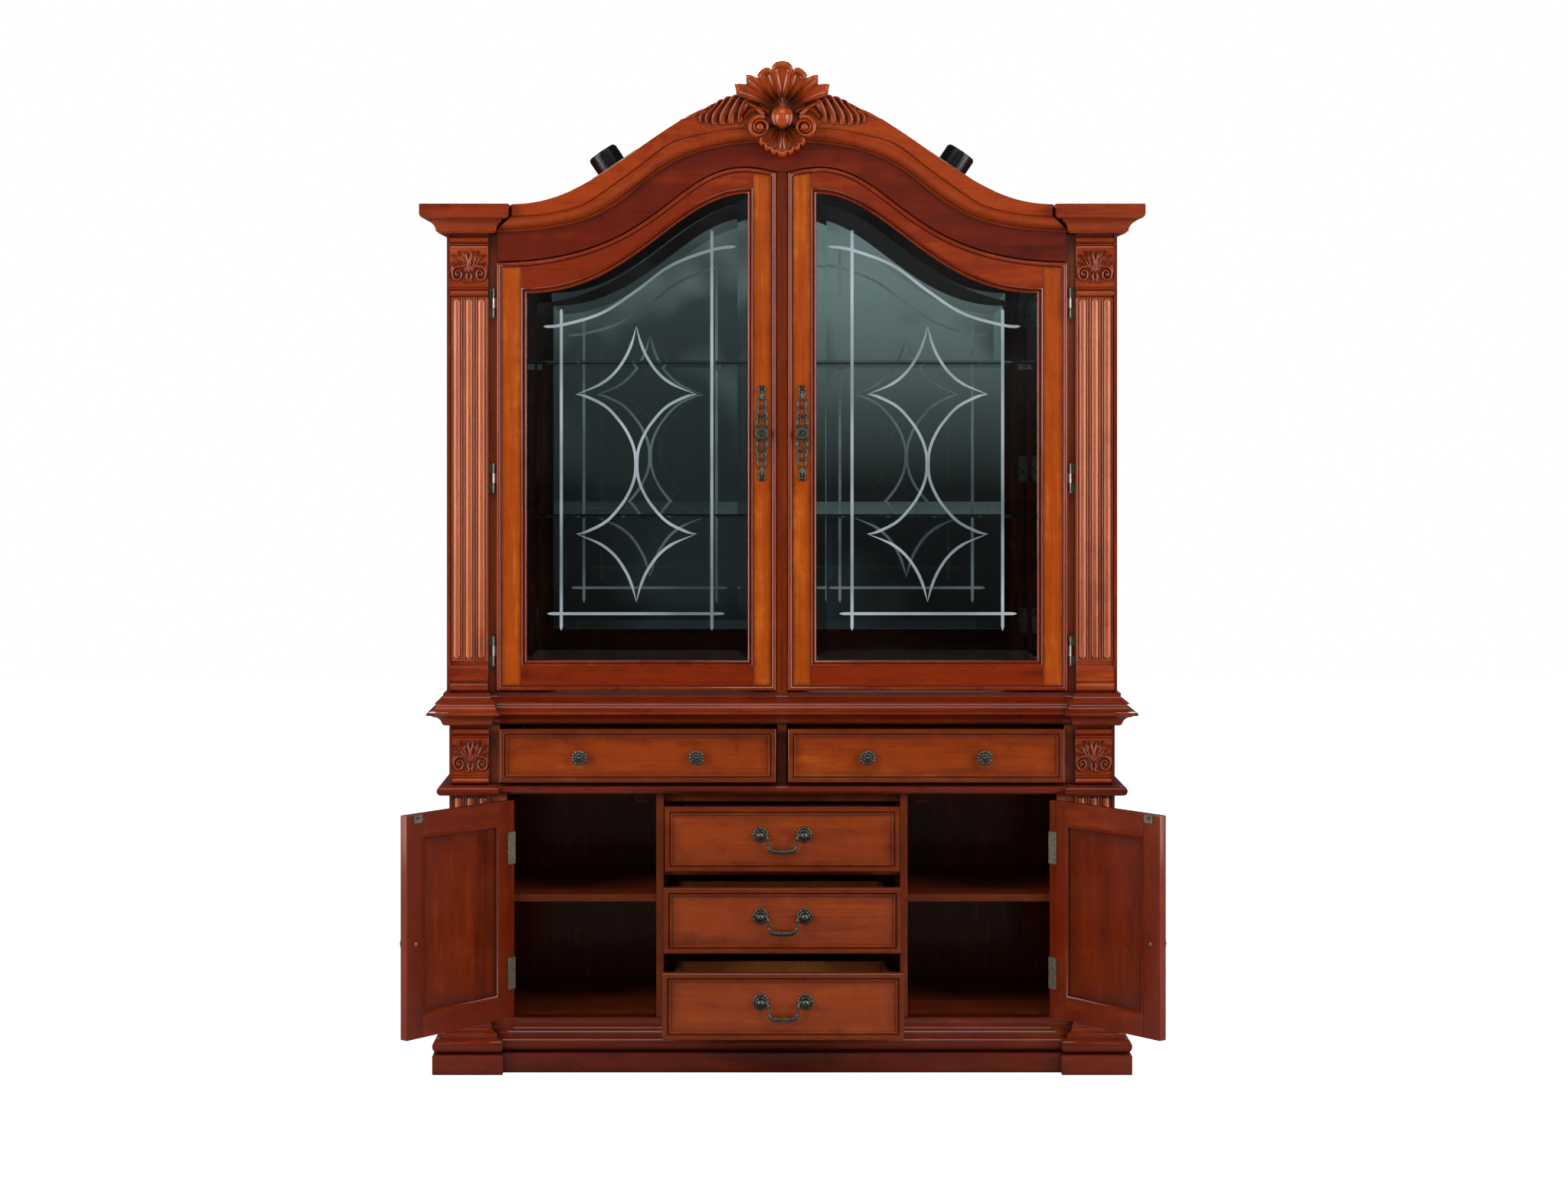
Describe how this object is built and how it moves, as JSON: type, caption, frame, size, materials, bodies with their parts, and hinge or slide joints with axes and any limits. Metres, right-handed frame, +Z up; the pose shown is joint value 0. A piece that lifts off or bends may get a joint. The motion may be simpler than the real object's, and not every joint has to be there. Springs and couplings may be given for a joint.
{
  "type": "china cabinet",
  "caption": "Tall two-part display cabinet: glazed hutch with an arched carved crown and glass shelves over a base with cupboards and drawers.",
  "frame": {"origin": "on the floor under the middle of the case, half way between the pilaster faces and the back", "axes": "+X to the right as seen from the front, +Y towards the wall behind, +Z up"},
  "size_m": [1.6456, 0.7249, 2.226],
  "materials": {
    "case_wood": "red-brown stained hardwood under satin lacquer, darker glaze in the corners",
    "moulding_wood": "deep red-brown stained moulding, gloss on the rounds",
    "door_wood": "lighter orange-brown stile and rail wood, satin lacquer",
    "carved_wood": "carved wood, dark in the hollows and polished on the high points",
    "inside_wood": "dark stained interior board, low sheen",
    "drawer_wood": "unstained pale drawer side wood, matt",
    "pale_board": "raw plywood, matt",
    "aged_metal": "antique pewter, rubbed bright on the high points",
    "grey_hinge": "aged steel leaf, satin",
    "bright_hinge": "bright plated steel",
    "door_glass": "clear glass with a ground edge and cut lines",
    "shelf_glass": "clear float glass, green at the edge",
    "mirror_glass": "silvered glass",
    "can_black": "gloss black"
  },
  "bodies": {
    "case": {"plinth": "moulding_wood", "base_floor": "inside_wood", "base_sides": "case_wood", "base_back": "inside_wood", "partitions": "inside_wood", "base_shelves": "inside_wood", "drawer_runners": "drawer_wood", "waist_shelf": "moulding_wood", "counter_top": "moulding_wood", "base_pilasters": "carved_wood", "hutch_floor": "moulding_wood", "hutch_sides": "case_wood", "hutch_back": "inside_wood", "mirror": "mirror_glass", "hutch_roof": "case_wood", "header_board": "case_wood", "crown_moulding": "moulding_wood", "hutch_pilasters": "carved_wood", "mullion": "case_wood", "shell_crest": "carved_wood", "glass_shelves": "shelf_glass", "shelf_clips": "bright_hinge", "light_cans": "can_black", "light_boards": "pale_board", "fixed_hinge_leaves": "grey_hinge", "ball_catches": "grey_hinge"},
    "base_door_left": {"base_door_left_frame": "door_wood", "base_door_left_panel": "door_wood", "base_door_left_knob": "aged_metal", "base_door_left_hardware": "grey_hinge"},
    "base_door_right": {"base_door_right_frame": "door_wood", "base_door_right_panel": "door_wood", "base_door_right_knob": "aged_metal", "base_door_right_hardware": "grey_hinge"},
    "glass_door_left": {"glass_door_left_frame": "door_wood", "glass_door_left_pane": "door_glass", "glass_door_left_handle": "aged_metal", "glass_door_left_hinges": "bright_hinge"},
    "glass_door_right": {"glass_door_right_frame": "door_wood", "glass_door_right_pane": "door_glass", "glass_door_right_handle": "aged_metal", "glass_door_right_hinges": "bright_hinge"},
    "frieze_drawer_left": {"frieze_drawer_left_front": "door_wood", "frieze_drawer_left_box": "drawer_wood", "frieze_drawer_left_knobs": "aged_metal"},
    "frieze_drawer_right": {"frieze_drawer_right_front": "door_wood", "frieze_drawer_right_box": "drawer_wood", "frieze_drawer_right_knobs": "aged_metal"},
    "centre_drawer_bottom": {"centre_drawer_bottom_front": "door_wood", "centre_drawer_bottom_box": "drawer_wood", "centre_drawer_bottom_posts": "aged_metal"},
    "bail_bottom": {"centre_drawer_bottom_bail": "aged_metal"},
    "centre_drawer_middle": {"centre_drawer_middle_front": "door_wood", "centre_drawer_middle_box": "drawer_wood", "centre_drawer_middle_posts": "aged_metal"},
    "bail_middle": {"centre_drawer_middle_bail": "aged_metal"},
    "centre_drawer_top": {"centre_drawer_top_front": "door_wood", "centre_drawer_top_box": "drawer_wood", "centre_drawer_top_posts": "aged_metal"},
    "bail_top": {"centre_drawer_top_bail": "aged_metal"}
  },
  "joints": [
    {"name": "base_door_left_hinge", "type": "hinge", "parent": "case", "child": "base_door_left", "pos_m": [-0.607, -0.219, 0.36], "axis": [0, 0, -1], "range_deg": [-130, 20]},
    {"name": "glass_door_left_hinge", "type": "hinge", "parent": "case", "child": "glass_door_left", "pos_m": [-0.6367, -0.222, 1.3], "axis": [0, 0, -1], "range_deg": [0, 95]},
    {"name": "frieze_drawer_left_slide", "type": "slide", "parent": "case", "child": "frieze_drawer_left", "axis": [0, -1, 0], "range_m": [-0.035, 0.265]},
    {"name": "base_door_right_hinge", "type": "hinge", "parent": "case", "child": "base_door_right", "pos_m": [0.607, -0.219, 0.36], "axis": [0, 0, 1], "range_deg": [-130, 20]},
    {"name": "glass_door_right_hinge", "type": "hinge", "parent": "case", "child": "glass_door_right", "pos_m": [0.6367, -0.222, 1.3], "axis": [0, 0, 1], "range_deg": [0, 95]},
    {"name": "frieze_drawer_right_slide", "type": "slide", "parent": "case", "child": "frieze_drawer_right", "axis": [0, -1, 0], "range_m": [-0.035, 0.265]},
    {"name": "centre_drawer_bottom_slide", "type": "slide", "parent": "case", "child": "centre_drawer_bottom", "axis": [0, -1, 0], "range_m": [-0.25, 0.05]},
    {"name": "bail_bottom_swing", "type": "hinge", "parent": "centre_drawer_bottom", "child": "bail_bottom", "pos_m": [0, -0.474, 0.199], "axis": [-1, 0, 0], "range_deg": [0, 85]},
    {"name": "centre_drawer_middle_slide", "type": "slide", "parent": "case", "child": "centre_drawer_middle", "axis": [0, -1, 0], "range_m": [-0.15, 0.15]},
    {"name": "bail_middle_swing", "type": "hinge", "parent": "centre_drawer_middle", "child": "bail_middle", "pos_m": [0, -0.374, 0.364], "axis": [-1, 0, 0], "range_deg": [0, 85]},
    {"name": "centre_drawer_top_slide", "type": "slide", "parent": "case", "child": "centre_drawer_top", "axis": [0, -1, 0], "range_m": [-0.075, 0.225]},
    {"name": "bail_top_swing", "type": "hinge", "parent": "centre_drawer_top", "child": "bail_top", "pos_m": [0, -0.299, 0.529], "axis": [-1, 0, 0], "range_deg": [0, 85]}
  ]
}
